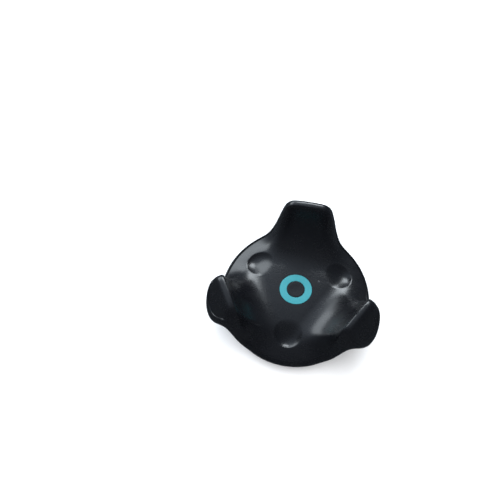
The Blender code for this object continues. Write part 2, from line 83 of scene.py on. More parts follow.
UNDERSIDE_FULL = math.radians(12)
UNDERSIDE_FADE = math.radians(33)
BUTTON_HOLE = 8.9 * MM

# Base, button, light, screws and port, as in the model
FINE_GAP = 0.12 * MM
PAD_INNER = 16.5 * MM
PAD_OUTER = 22.9 * MM
PAD_THICKNESS = 0.8 * MM
SOCKET_RADIUS = 3.175 * MM
SOCKET_DEPTH = 4.6 * MM
NUT_RADIUS = 4.8 * MM
NUT_TOP = 5.5 * MM
NUT_FLANGE_RADIUS = 6.6 * MM
NUT_FLANGE = (2.2 * MM, 3.1 * MM)
PIN_PLACE = 12.0 * MM
PIN_RADIUS = 1.8 * MM
PIN_TOP = 1.4 * MM
BUTTON_RADIUS = 8.7 * MM
BUTTON_FLANGE_RADIUS = 10.3 * MM
BUTTON_FLANGE = (14.55 * MM, 15.2 * MM)
RING_SEAT = 16.3 * MM
RING_INNER = 4.9 * MM
RING_OUTER = 8.76 * MM
LIGHT_DISTANCE = 13.5 * MM
LIGHT_RADIUS = 0.6 * MM
SCREW_PLACE = 20.0 * MM
SCREW_RADIUS = 1.0 * MM
SCREW_HEAD_RADIUS = 2.0 * MM
SCREW_HEAD = (1.35 * MM, 2.9 * MM)
SCREW_END = 10.0 * MM
POST_RADIUS = 2.6 * MM
POST_BOTTOM = 4.9 * MM
POST_TOP = 17.0 * MM
CONTACT_PLACE = -11.2 * MM
CONTACT_PITCH = 2.4 * MM
CONTACT_COUNT = 6
CONTACT_BLOCK = (0.6 * MM, 3.4 * MM)
PORT_SIDE = VALLEY_ANGLES[0]
USB_WIDTH = 7.5 * MM
USB_BOTTOM = 4.6 * MM
USB_TOP = 7.2 * MM
USB_INNER = 33.0 * MM
USB_OUTER = 38.2 * MM

# Camera, in the tracker's frame: it stands at the viewing angle to be matched.
VIEW_TURN = math.radians(13.18)
CAMERA_TILT = math.radians(61.68)
CAMERA_ROLL = math.radians(2.47)
CAMERA_REACH = 416.3 * MM
AIM_X = -30.26 * MM
AIM_Y = 39.48 * MM
FOCAL_LENGTH = 52.85
FILM = 36.0

# Light: azimuths are counted from the camera's right hand, and both angles are in degrees.
GLOW_TOWARDS = (118, 42)
GLOW_STOPS = ((0.0, 0.07), (0.45, 0.11), (0.75, 0.34), (0.9, 0.62), (1.0, 0.85))
GLOW_TINT = (0.80, 0.93, 1.10)
GLOW_STRENGTH = 1.1
WINDOW_TINT = (0.88, 0.95, 1.0)
WINDOW_REACH = 1.1
FILL_REACH = 1.6

# Fineness of the covers' surfaces
SEGMENTS = 360
TOP_ROWS = 100
ROLL_ROWS = 8
BOTTOM_ROWS = 40


# ---------------------------------------------------------------- outer form

def ease(t):
    t = np.clip(t, 0.0, 1.0)
    return t * t * (3.0 - 2.0 * t)


def soft_min(a, b, width):
    overlap = np.maximum(width - np.abs(a - b), 0.0) / width
    return np.minimum(a, b) - overlap * overlap * width * 0.25


def off_axis(angle):
    """Angle from the nearest wing's axis."""
    return (angle - WING_ANGLES[0] + THIRD / 2) % THIRD - THIRD / 2


def outline(angle):
    share = 1.0 - ease((np.abs(off_axis(angle)) - WING_FULL) / (WING_GONE - WING_FULL))
    return DISC_RADIUS + (WING_RADIUS - DISC_RADIUS) * share


def dish(radius):
    return DISH_HEIGHT - DISH_DROP * (radius / DISC_RADIUS) ** 3


def wing_lift(along):
    share = np.clip((along - RAMP_START) / RAMP_LENGTH, 0.0, 0.985)
    ramp = RAMP_RISE * (1.0 - np.sqrt(1.0 - share * share))
    out = np.maximum(along - CREST_RADIUS, -CREST_INNER_REACH)
    crest = TOTAL_HEIGHT - out * out / (2.0 * CREST_BEND)
    facet = FACET_TOP - FACET_SLOPE * (along - FACET_PLACE)
    outer = soft_min(crest, facet, FACET_ROUNDING) - dish(along)
    return np.maximum(soft_min(ramp, outer, CREST_ROUNDING), 0.0)


def wing_side(along, across):
    rise = ease((along - FOOT_PLACE) / (CREST_RADIUS - FOOT_PLACE))
    half_width = FOOT_HALF_WIDTH + (CREST_HALF_WIDTH - FOOT_HALF_WIDTH) * rise
    return 1.0 / (1.0 + (np.abs(across) / half_width) ** SIDE_STEEPNESS)


def dimple_depth(out, across):
    share = np.clip(np.hypot(out, across) / DIMPLE_RADIUS, 0.0, 1.0)
    lean = 0.5 + 0.5 * out / DIMPLE_RADIUS
    return DIMPLE_DEPTH * (1.0 - share ** 2) * lean


def top_height(x, y):
    height = dish(np.hypot(x, y))
    for angle in WING_ANGLES:
        along = x * math.cos(angle) + y * math.sin(angle)
        across = y * math.cos(angle) - x * math.sin(angle)
        height = height + np.where(along > RAMP_START, wing_lift(along) * wing_side(along, across), 0.0)
    for angle in VALLEY_ANGLES:
        out = x * math.cos(angle) + y * math.sin(angle) - DIMPLE_PLACE
        across = y * math.cos(angle) - x * math.sin(angle)
        height = height - dimple_depth(out, across)
    return height


def seam_height(angle):
    radius = outline(angle)
    return top_height(radius * np.cos(angle), radius * np.sin(angle)) - EDGE_ROLL


def row(radius, angle, height):
    return np.stack([radius * np.cos(angle), radius * np.sin(angle), height], axis=-1)


def top_rows(angle):
    """Rings of points of the top cover, from the button's hole out and down to the seam."""
    reach = outline(angle) - EDGE_ROLL
    rows = []
    for share in np.linspace(0.0, 1.0, TOP_ROWS + 1):
        radius = BUTTON_HOLE + (reach - BUTTON_HOLE) * share
        rows.append(row(radius, angle, top_height(radius * np.cos(angle), radius * np.sin(angle))))
    for turn in np.linspace(0.0, math.pi / 2, ROLL_ROWS + 1)[1:]:
        radius = reach + EDGE_ROLL * math.sin(turn)
        height = top_height(radius * np.cos(angle), radius * np.sin(angle))
        rows.append(row(radius, angle, height - EDGE_ROLL * (1.0 - math.cos(turn)) + SEAM_BAND))
    rows.append(row(outline(angle), angle, seam_height(angle)))
    return rows


def bottom_rows(angle):
    """Rings of points of the bottom cover, from the middle of the base out and up to the seam."""
    seam = seam_height(angle) - SEAM_WIDTH
    rise = seam - SEAM_BAND - BASE_HEIGHT
    wing = 1.0 - ease((np.abs(off_axis(angle)) - UNDERSIDE_FULL) / UNDERSIDE_FADE)
    straight = UNDERSIDE_STRAIGHTNESS * wing
    rows = [row(np.full_like(angle, radius), angle, np.full_like(angle, BASE_HEIGHT))
            for radius in (5.0 * MM, 16.0 * MM, BASE_RADIUS - 0.5 * MM)]
    for turn in np.linspace(0.0, math.pi / 2, BOTTOM_ROWS + 1):
        radius = BASE_RADIUS + (outline(angle) - BASE_RADIUS) * math.sin(turn)
        share = (1.0 - straight) * (1.0 - math.cos(turn)) + straight * math.sin(turn)
        rows.append(row(radius, angle, BASE_HEIGHT + rise * share))
    rows.append(row(outline(angle), angle, seam))
    return rows


# ---------------------------------------------------------------- mesh helpers

def link(item):
    bpy.context.scene.collection.objects.link(item)
    return item


def new_item(name, vertices, faces):
    mesh = bpy.data.meshes.new(name)
    mesh.from_pydata(vertices, [], faces)
    return link(bpy.data.objects.new(name, mesh))


def loft(name, rows, faces_up=True, closed=False):
    """Join rings of points into one surface; a closed one comes back to its first ring."""
    count = len(rows[0])
    levels = len(rows)
    faces = []
    for level in range(levels if closed else levels - 1):
        low = level * count
        high = (level + 1) % levels * count
        for i in range(count):
            j = (i + 1) % count
            face = (low + i, high + i, high + j, low + j)
            faces.append(face if faces_up else face[::-1])
    item = new_item(name, np.concatenate(rows).tolist(), faces)
    item.data.shade_smooth()
    return item


def apply_modifiers(item):
    """Replace an object's mesh with its evaluated one."""
    evaluated = item.evaluated_get(bpy.context.evaluated_depsgraph_get())
    mesh = bpy.data.meshes.new_from_object(evaluated)
    item.modifiers.clear()
    item.data = mesh
    return item


def thicken(item, thickness):
    shell = item.modifiers.new("wall", "SOLIDIFY")
    shell.thickness = thickness
    shell.offset = -1.0
    return apply_modifiers(item)


def join_meshes(name, items):
    """Put several objects' meshes into one object, at their places."""
    work = bmesh.new()
    for item in items:
        mesh = item.data
        mesh.transform(item.matrix_basis)
        work.from_mesh(mesh)
        bpy.data.objects.remove(item, do_unlink=True)
    mesh = bpy.data.meshes.new(name)
    work.to_mesh(mesh)
    work.free()
    return link(bpy.data.objects.new(name, mesh))


def polar(radius, angle):
    return radius * math.cos(angle), radius * math.sin(angle)


def turned(name, profile, place=(0.0, 0.0), steps=96):
    """Turn a closed profile of (radius, height) points, listed up its outer side, about an upright axis."""
    angle = np.linspace(0.0, 2.0 * math.pi, steps, endpoint=False)
    rows = []
    for radius, height in profile:
        ring = row(np.full_like(angle, radius), angle, np.full_like(angle, height))
        rows.append(ring + np.array((*place, 0.0)))
    item = loft(name, rows, False, closed=True)
    weld(item.data)
    return item


def weld(mesh, distance=0.000001):
    """Merge doubled points, such as a turned profile's points on its axis."""
    work = bmesh.new()
    work.from_mesh(mesh)
    bmesh.ops.remove_doubles(work, verts=work.verts, dist=distance)
    bmesh.ops.recalc_face_normals(work, faces=work.faces)
    work.to_mesh(mesh)
    work.free()


def rounded(profile, radius, steps=4):
    """Round the corners of a closed profile of points with arcs."""
    points = [Vector(p) for p in profile]
    smooth = []
    for i, point in enumerate(points):
        before = (points[i - 1] - point)
        after = (points[(i + 1) % len(points)] - point)
        reach = min(radius, before.length * 0.45, after.length * 0.45)
        if reach < 0.01 * MM or point.x < 0.01 * MM:
            smooth.append(tuple(point))
            continue
        start = point + before.normalized() * reach
        end = point + after.normalized() * reach
        for step in range(steps + 1):
            t = step / steps
            smooth.append(tuple(start * (1 - t) ** 2 + point * 2 * t * (1 - t) + end * t * t))
    return smooth


def post(radius, bottom, top, place=(0.0, 0.0), steps=48):
    """A closed round post."""
    return turned("post", [(0.0, bottom), (radius, bottom), (radius, top), (0.0, top)], place, steps)


def block(name, size, centre, turn=0.0, corner=0.0, segments=3):
    """A closed box with rounded edges, turned about the upright axis."""
    work = bmesh.new()
    bmesh.ops.create_cube(work, size=1.0)
    bmesh.ops.scale(work, vec=size, verts=work.verts)
    if corner:
        bmesh.ops.bevel(work, geom=list(work.edges), offset=corner, segments=segments, profile=0.5,
                        affect="EDGES", clamp_overlap=True)
    place = Matrix.Translation(centre) @ Matrix.Rotation(turn, 4, "Z")
    bmesh.ops.transform(work, matrix=place, verts=work.verts)
    mesh = bpy.data.meshes.new(name)
    work.to_mesh(mesh)
    work.free()
    return link(bpy.data.objects.new(name, mesh))


def cut(item, tools):
    """Cut an object with several closed tools that don't touch each other, and drop them."""
    tool = join_meshes("tool", tools)
    modifier = item.modifiers.new("cut", "BOOLEAN")
    modifier.operation = "DIFFERENCE"
    modifier.object = tool
    apply_modifiers(item)
    bpy.data.objects.remove(tool, do_unlink=True)
    return item


def sharpen(item, degrees=35):
    item.data.shade_smooth()
    item.data.set_sharp_from_angle(angle=math.radians(degrees))
    return item


def place_piece(item, name, material, node_name, body, degrees=35):
    """Name a finished piece, give it its finish, hide the node it stands for and attach it to what it moves
    with.
    """
    item.name = name
    item.data.name = name
    item.data.materials.clear()
    item.data.materials.append(material)
    sharpen(item, degrees)
    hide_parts(node_name)
    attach(item, body)
    return item


# ---------------------------------------------------------------- materials

def shader_of(material):
    return material.node_tree.nodes["Principled BSDF"]


def new_material(name, metallic=0.0, specular=0.5):
    material = bpy.data.materials.new(name)
    material.use_nodes = True
    shader = shader_of(material)
    shader.inputs["Metallic"].default_value = metallic
    shader.inputs["Specular IOR Level"].default_value = specular
    return material


def node(material, kind, **inputs):
    made = material.node_tree.nodes.new(kind)
    for key, value in inputs.items():
        made.inputs[key].default_value = value
    return made


def wire(material, source, target):
    material.node_tree.links.new(source, target)


def place_of(material, stretch=(1.0, 1.0, 1.0), turn=0.0):
    """The object's own metres, stretched and turned about the upright axis."""
    place = node(material, "ShaderNodeTexCoord")
    mapping = node(material, "ShaderNodeMapping", Scale=stretch, Rotation=(0.0, 0.0, turn))
    wire(material, place.outputs["Object"], mapping.inputs["Vector"])
    return mapping.outputs["Vector"]


def noise(material, scale, detail=2.0, roughness=0.5, stretch=(1.0, 1.0, 1.0)):
    made = node(material, "ShaderNodeTexNoise", Scale=scale, Detail=detail, Roughness=roughness)
    wire(material, place_of(material, stretch), made.inputs["Vector"])
    return made.outputs["Fac"]


def cells(material, scale, stretch=(1.0, 1.0, 1.0)):
    """Distance to the borders of irregular cells."""
    made = node(material, "ShaderNodeTexVoronoi", Scale=scale)
    made.feature = "DISTANCE_TO_EDGE"
    wire(material, place_of(material, stretch), made.inputs["Vector"])
    return made.outputs["Distance"]


def stripes(material, scale, turn=0.0, wobble=0.0, direction="X"):
    made = node(material, "ShaderNodeTexWave", Scale=scale, Distortion=wobble)
    made.bands_direction = direction
    wire(material, place_of(material, turn=turn), made.inputs["Vector"])
    return made.outputs["Fac"]


def spread(material, source, low, high, start=0.3, end=0.7):
    """Map the part of a value between start and end to a range."""
    made = node(material, "ShaderNodeMapRange")
    made.inputs["From Min"].default_value = start
    made.inputs["From Max"].default_value = end
    made.inputs["To Min"].default_value = low
    made.inputs["To Max"].default_value = high
    wire(material, source, made.inputs["Value"])
    return made.outputs["Result"]


def mix_colours(material, source, first, second):
    """Mix two colours, each a tuple or another node's output."""
    made = material.node_tree.nodes.new("ShaderNodeMix")
    made.data_type = "RGBA"
    for key, colour in (("A", first), ("B", second)):
        if isinstance(colour, tuple):
            made.inputs[key].default_value = (*colour, 1.0)
        else:
            wire(material, colour, made.inputs[key])
    wire(material, source, made.inputs["Factor"])
    return made.outputs["Result"]


def bump(material, source, depth, below=None):
    made = node(material, "ShaderNodeBump", Strength=1.0, Distance=depth)
    wire(material, source, made.inputs["Height"])
    if below:
        wire(material, below, made.inputs["Normal"])
    return made.outputs["Normal"]


def set_looks(material, colour=None, roughness=None, normal=None):
    shader = shader_of(material)
    for key, source in (("Base Color", colour), ("Roughness", roughness), ("Normal", normal)):
        if source:
            wire(material, source, shader.inputs[key])
    return material


def moulded(name, dark, light, roughness, grain=0.004 * MM, grain_scale=2600.0, specular=0.5):
    """Moulded plastic: fine eroded grain, slow drift of colour and handling marks in the gloss."""
    material = new_material(name, specular=specular)
    drift = spread(material, noise(material, 60.0, 3.0), 0.0, 1.0)
    smears = noise(material, 90.0, 6.0, 0.6, (1.0, 2.2, 1.0))
    fine = bump(material, noise(material, grain_scale, 2.0), grain)
    return set_looks(material, mix_colours(material, drift, dark, light),
                     spread(material, smears, *roughness), fine)


def make_rubber():
    """Friction rubber: matt, with a pebbled skin and dust in its low spots."""
    material = new_material("friction rubber", specular=0.3)
    pebbles = spread(material, cells(material, 1500.0), 0.0, 1.0, 0.0, 0.25)
    colour = mix_colours(material, pebbles, (0.022, 0.022, 0.023), (0.009, 0.009, 0.010))
    return set_looks(material, colour, spread(material, noise(material, 200.0, 4.0), 0.7, 0.9),
                     bump(material, pebbles, 0.05 * MM))


def make_metal(name, dark, light, roughness, stretch=(1.0, 1.0, 14.0), scale=600.0):
    """Plated or turned metal: streaks along its finish and a slow drift in its gloss."""
    material = new_material(name, metallic=1.0)
    streaks = noise(material, scale, 4.0, 0.6, stretch)
    drift = noise(material, 140.0, 3.0)
    colour = mix_colours(material, spread(material, drift, 0.0, 1.0), dark, light)
    return set_looks(material, colour, spread(material, streaks, *roughness),
                     bump(material, streaks, 0.006 * MM))


def make_board_material():
    """Solder mask over copper traces, with plated vias and the weave of the glass below."""
    material = new_material("solder mask")
    weave = stripes(material, 900.0, math.radians(45))
    mask = mix_colours(material, spread(material, noise(material, 250.0, 4.0), 0.0, 1.0),
                       (0.006, 0.055, 0.025), (0.010, 0.085, 0.036))
    traces = spread(material, stripes(material, 260.0, math.radians(30), 9.0), 0.0, 1.0, 0.62, 0.7)
    with_traces = mix_colours(material, traces, mask, (0.030, 0.150, 0.060))
    via = node(material, "ShaderNodeTexVoronoi", Scale=420.0, Randomness=0.75)
    wire(material, place_of(material, (1.0, 1.0, 0.0)), via.inputs["Vector"])
    dots = spread(material, via.outputs["Distance"], 1.0, 0.0, 0.10, 0.14)
    colour = mix_colours(material, dots, with_traces, (0.62, 0.55, 0.36))
    low = bump(material, weave, 0.003 * MM)
    return set_looks(material, colour, spread(material, noise(material, 300.0), 0.28, 0.42),
                     bump(material, traces, 0.02 * MM, low))


def make_chip_resin():
    """Moulded chip resin: grey-black, with fine glass filler."""
    material = new_material("chip resin")
    filler = noise(material, 5200.0, 2.0)
    colour = mix_colours(material, spread(material, filler, 0.0, 1.0), (0.014, 0.014, 0.016),
                         (0.034, 0.034, 0.037))
    return set_looks(material, colour, spread(material, noise(material, 500.0, 3.0), 0.45, 0.62),
                     bump(material, filler, 0.004 * MM))


def make_sensor_resin():
    """Infrared-pass resin of a light sensor: nearly black, deep red inside, with a glossy face."""
    material = new_material("sensor resin")
    depth = noise(material, 700.0, 3.0)
    colour = mix_colours(material, spread(material, depth, 0.0, 1.0), (0.010, 0.003, 0.005),
                         (0.045, 0.008, 0.014))
    shader_of(material).inputs["Coat Weight"].default_value = 0.6
    shader_of(material).inputs["Coat Roughness"].default_value = 0.08
    return set_looks(material, colour, spread(material, depth, 0.12, 0.25),
                     bump(material, noise(material, 1600.0), 0.002 * MM))


def make_foil():
    """Laminated battery foil, with soft creases."""
    material = new_material("battery foil", metallic=0.8)
    creases = cells(material, 130.0, (1.0, 2.5, 1.0))
    fine = noise(material, 900.0, 4.0)
    colour = mix_colours(material, spread(material, fine, 0.0, 1.0), (0.36, 0.37, 0.39), (0.52, 0.53, 0.55))
    return set_looks(material, colour, spread(material, noise(material, 200.0, 5.0), 0.28, 0.5),
                     bump(material, fine, 0.01 * MM, bump(material, creases, 0.15 * MM)))


def make_foam():
    """Open foam: dark cell walls, with painted shade darkening the hollow of each cell."""
    material = new_material("foam", specular=0.2)
    pits_and_painted_shade = spread(material, cells(material, 2200.0), 0.0, 1.0, 0.0, 0.2)
    # Painted shade: the cell hollows, which the bump below also sinks, are coloured darker than the walls.
    colour = mix_colours(material, pits_and_painted_shade, (0.075, 0.075, 0.080), (0.020, 0.020, 0.022))
    return set_looks(material, colour, spread(material, noise(material, 300.0), 0.88, 0.98),
                     bump(material, pits_and_painted_shade, -0.12 * MM))


def make_ceramic():
    """Sintered ceramic or pale nylon: speckled, half matt."""
    material = new_material("pale ceramic")
    specks = noise(material, 2400.0, 3.0)
    colour = mix_colours(material, spread(material, specks, 0.0, 1.0), (0.52, 0.50, 0.45), (0.70, 0.68, 0.62))
    return set_looks(material, colour, spread(material, noise(material, 400.0), 0.4, 0.6),
                     bump(material, specks, 0.006 * MM))


def make_flex_material():
    """Polyimide film over parallel copper tracks."""
    material = new_material("polyimide film")
    tracks = spread(material, stripes(material, 700.0), 0.0, 1.0, 0.45, 0.55)
    film = mix_colours(material, spread(material, noise(material, 300.0), 0.0, 1.0), (0.30, 0.11, 0.015),
                       (0.40, 0.16, 0.03))
    colour = mix_colours(material, tracks, film, (0.55, 0.27, 0.08))
    return set_looks(material, colour, spread(material, noise(material, 500.0), 0.25, 0.4),
                     bump(material, tracks, 0.02 * MM))


def make_smoke():
    """Smoked light pipe: dark and clear, with faint swirls in its depth."""
    material = new_material("smoked plastic")
    swirl = noise(material, 900.0, 4.0)
    colour = mix_colours(material, spread(material, swirl, 0.0, 1.0), (0.012, 0.013, 0.016),
                         (0.045, 0.048, 0.055))
    return set_looks(material, colour, spread(material, swirl, 0.12, 0.22),
                     bump(material, noise(material, 1800.0), 0.002 * MM))


LIGHT_PLACE = polar(LIGHT_DISTANCE, PORT_SIDE)


# ---------------------------------------------------------------- covers

def full_turn():
    return np.linspace(0.0, 2.0 * math.pi, SEGMENTS, endpoint=False)


def make_top_cover(material):
    """Dish, wings and dimples, with the light pipe's hole and three screw posts inside."""
    shell = thicken(loft("shell", top_rows(full_turn())), WALL)
    cut(shell, [post(LIGHT_RADIUS + FINE_GAP, 12.0 * MM, 20.0 * MM, LIGHT_PLACE)])
    pieces = [shell]
    for angle in WING_ANGLES:
        sleeve = [(SCREW_RADIUS, POST_BOTTOM), (POST_RADIUS, POST_BOTTOM), (POST_RADIUS, POST_TOP),
                  (SCREW_RADIUS, POST_TOP)]
        pieces.append(turned("sleeve", rounded(sleeve, 0.2 * MM), polar(SCREW_PLACE, angle), 48))
    cover = join_meshes("top_cover_shell", pieces)
    return place_piece(cover, "top_cover_shell", material, "top_cover", "tracker")


def make_bottom_cover(material):
    """Bowl with the pad's recess, the contact window, the port, a pin hole and three screw seats."""
    shell = thicken(loft("shell", bottom_rows(full_turn()), False), WALL)
    below = -1.0 * MM
    floor = BASE_HEIGHT + PAD_THICKNESS
    inner = PAD_INNER - FINE_GAP
    outer = PAD_OUTER + FINE_GAP
    ring = turned("ring", [(inner, below), (outer, below), (outer, floor), (inner, floor)], steps=180)
    window = block("window", (15.6 * MM, 4.6 * MM, 8.0 * MM), (0.0, CONTACT_PLACE, 0.0), corner=0.5 * MM)
    pin = post(PIN_RADIUS, below, PIN_TOP, (0.0, PIN_PLACE))
    size = (12.0 * MM, USB_WIDTH + 0.5 * MM, USB_TOP - USB_BOTTOM + 0.5 * MM)
    centre = (*polar(USB_INNER + 5.0 * MM, PORT_SIDE), (USB_TOP + USB_BOTTOM) / 2)
    port = block("port", size, centre, PORT_SIDE, 0.7 * MM, 4)
    cut(shell, [ring, window, pin, port])
    seat = SCREW_HEAD_RADIUS + FINE_GAP
    places = [polar(SCREW_PLACE, angle) for angle in WING_ANGLES]
    cut(shell, [post(seat, below, 3.0 * MM, place) for place in places])
    pieces = [shell]
    for place in places:
        boss = [(seat, 1.3 * MM), (3.4 * MM, 1.3 * MM), (3.4 * MM, 4.6 * MM), (1.2 * MM, 4.6 * MM),
                (1.2 * MM, 3.2 * MM), (seat, 3.2 * MM)]
        pieces.append(turned("boss", boss, place, 48))
    cover = join_meshes("bottom_cover_shell", pieces)
    return place_piece(cover, "bottom_cover_shell", material, "bottom_cover", "tracker")


# ---------------------------------------------------------------- button

def make_button(material, colour):
    """Round cap with a shallow finger dish, and the coloured ring let into it."""
    top = dish(BUTTON_RADIUS)
    low, high = BUTTON_FLANGE
    boss = RING_INNER - FINE_GAP
    dimple = [(0.0, top - 0.14 * MM), (1.5 * MM, top - 0.12 * MM), (3.0 * MM, top - 0.06 * MM)]
    side = [(boss, top), (boss, RING_SEAT), (BUTTON_RADIUS, RING_SEAT), (BUTTON_RADIUS, high),
            (BUTTON_FLANGE_RADIUS, high), (BUTTON_FLANGE_RADIUS, low), (0.0, low)]
    cap = turned("cap", rounded(dimple + side, 0.22 * MM), steps=144)
    place_piece(cap, "button_cap", material, "power_button", "button", 50)
    seat = RING_SEAT + 0.2 * MM
    profile = [(RING_INNER, seat), (RING_INNER, top), (RING_OUTER, top), (RING_OUTER, seat)]
    ring = turned("ring", rounded(profile, 0.16 * MM), steps=180)
    place_piece(ring, "button_inlay", colour, "button_ring", "button", 50)


def make_light_pipe(material):
    top = dish(LIGHT_DISTANCE)
    profile = [(0.0, top + 0.02 * MM), (0.45 * MM, top - 0.01 * MM), (0.7 * MM, top - 0.08 * MM),
               (LIGHT_RADIUS, top - 0.2 * MM), (LIGHT_RADIUS, 14.6 * MM), (1.5 * MM, 14.6 * MM),
               (1.5 * MM, 14.0 * MM), (0.0, 14.0 * MM)]
    pipe = turned("pipe", profile, LIGHT_PLACE, 48)
    place_piece(pipe, "light_pipe_lens", material, "light_pipe", "tracker", 50)


# ---------------------------------------------------------------- base

def make_docking_pad(material):
    """Friction ring with rounded edges and three turned grooves."""
    grooves = [PAD_INNER + (PAD_OUTER - PAD_INNER) * share for share in (0.25, 0.5, 0.75)]
    profile = [(PAD_INNER, PAD_THICKNESS), (PAD_INNER, 0.2 * MM), (PAD_INNER + 0.2 * MM, 0.0)]
    for groove in grooves:
        for offset, depth in ((-0.32, 0.0), (-0.2, 0.22), (0.2, 0.22), (0.32, 0.0)):
            profile.append((groove + offset * MM, depth * MM))
    profile += [(PAD_OUTER - 0.2 * MM, 0.0), (PAD_OUTER, 0.2 * MM), (PAD_OUTER, PAD_THICKNESS)]
    pad = turned("pad", profile, steps=240)
    place_piece(pad, "docking_pad_ring", material, "docking_pad", "tracker", 25)


def make_thread(radius, depth, pitch, bottom, top):
    """A helical ridge on the inside of a bore, faded out at both ends."""
    per_turn = 48
    steps = int((top - bottom) / pitch * per_turn)
    vertices = []
    for step in range(steps + 1):
        turn = 2.0 * math.pi * step / per_turn
        height = bottom + pitch * step / per_turn
        fade = min(1.0, step / 12, (steps - step) / 12)
        crest = radius - depth * fade
        wide = pitch * 0.44 * max(fade, 0.05)
        flat = pitch * 0.06
        root = radius + 0.05 * MM
        for reach, rise in ((root, -wide), (crest, -flat), (crest, flat), (root, wide)):
            vertices.append((*polar(reach, turn), height + rise))
    faces = [(3, 2, 1, 0), tuple(4 * steps + i for i in range(4))]
    for step in range(steps):
        low = 4 * step
        for i in range(4):
            j = (i + 1) % 4
            faces.append((low + i, low + j, low + 4 + j, low + 4 + i))
    return new_item("thread", vertices, faces)


def make_tripod_nut(material):
    """Flanged nut with a real 1/4-20 thread in its bore."""
    bottom = BASE_HEIGHT
    roof = bottom + SOCKET_DEPTH
    low, high = NUT_FLANGE
    chamfer = 0.3 * MM
    profile = [(0.0, NUT_TOP), (NUT_RADIUS, NUT_TOP), (NUT_RADIUS, high), (NUT_FLANGE_RADIUS, high),
               (NUT_FLANGE_RADIUS, low), (NUT_RADIUS, low), (NUT_RADIUS, bottom + 0.12 * MM),
               (NUT_RADIUS - 0.12 * MM, bottom), (SOCKET_RADIUS + chamfer, bottom),
               (SOCKET_RADIUS, bottom + chamfer), (SOCKET_RADIUS, roof), (0.0, roof)]
    body = turned("body", profile, steps=96)
    ridge = make_thread(SOCKET_RADIUS, 0.6 * MM, 1.27 * MM, bottom + 0.75 * MM, roof - 0.6 * MM)
    weld(ridge.data)
    nut = join_meshes("tripod_nut_threaded", [body, ridge])
    place_piece(nut, "tripod_nut_threaded", material, "tripod_nut", "tracker", 30)


def make_contacts(resin, gold):
    """Contact block with six counterbored holes, and a domed contact in each."""
    face, back = CONTACT_BLOCK
    size = (15.2 * MM, 4.2 * MM, back - face)
    body = block("block", size, (0.0, CONTACT_PLACE, (face + back) / 2), corner=0.3 * MM)
    places = [((i - (CONTACT_COUNT - 1) / 2) * CONTACT_PITCH, CONTACT_PLACE) for i in range(CONTACT_COUNT)]
    cut(body, [post(1.0 * MM, 0.0, 1.8 * MM, place, 32) for place in places])
    place_piece(body, "contact_block_moulded", resin, "contact_block", "tracker")
    low = 0.45 * MM
    dome = [(0.0, low), (0.22 * MM, low + 0.02 * MM), (0.42 * MM, low + 0.09 * MM),
            (0.58 * MM, low + 0.2 * MM), (0.67 * MM, low + 0.34 * MM), (0.7 * MM, low + 0.5 * MM),
            (0.7 * MM, 1.5 * MM), (0.0, 1.5 * MM)]
    for number, place in enumerate(places, 1):
        pin = turned("pin", dome, place, 32)
        place_piece(pin, f"contact_pin_{number}", gold, f"contact_pad_{number}", "tracker", 60)


def make_screws(material):
    """Pan heads with a cross recess, up in their seats."""
    seat, head = SCREW_HEAD
    shank = SCREW_RADIUS * 0.92
    profile = [(0.0, SCREW_END), (SCREW_RADIUS * 0.7, SCREW_END), (shank, SCREW_END - 0.4 * MM),
               (shank, head), (SCREW_HEAD_RADIUS, head), (SCREW_HEAD_RADIUS, seat + 0.45 * MM),
               (SCREW_HEAD_RADIUS * 0.8, seat + 0.12 * MM), (SCREW_HEAD_RADIUS * 0.5, seat), (0.0, seat)]
    for number, angle in enumerate(WING_ANGLES, 1):
        place = polar(SCREW_PLACE, angle)
        screw = turned("screw", profile, place, 48)
        for turn in (0.0, math.pi / 2):
            slot = block("slot", (2.3 * MM, 0.5 * MM, 1.6 * MM), (*place, seat), turn)
            cut(screw, [slot])
        name = f"cover_screw_cross_{number}"
        place_piece(screw, name, material, f"cover_screw_{number}", "tracker")


# ---------------------------------------------------------------- side port

def port_ring(forward, grow):
    """The port's outline at a distance out: a flat box whose two lower corners are cut off."""
    wide = USB_WIDTH / 2 + grow
    high = (USB_TOP - USB_BOTTOM) / 2 + grow
    cut_off = 0.9 * MM
    corners = [(wide, high), (-wide, high), (-wide, cut_off - high), (cut_off - wide, -high),
               (wide - cut_off, -high), (wide, cut_off - high)]
    points = round_outline(corners, 0.45 * MM)
    out = np.array((*polar(1.0, PORT_SIDE), 0.0))
    across = np.array((-out[1], out[0], 0.0))
    middle = out * forward + np.array((0.0, 0.0, (USB_TOP + USB_BOTTOM) / 2))
    return np.array([middle + across * a + np.array((0.0, 0.0, z)) for a, z in points])


def round_outline(corners, radius, steps=5):
    points = []
    for i, corner in enumerate(corners):
        here = Vector(corner)
        start = here + (Vector(corners[i - 1]) - here).normalized() * radius
        end = here + (Vector(corners[(i + 1) % len(corners)]) - here).normalized() * radius
        for step in range(steps + 1):
            t = step / steps
            points.append(tuple(start * (1 - t) ** 2 + here * 2 * t * (1 - t) + end * t * t))
    return points


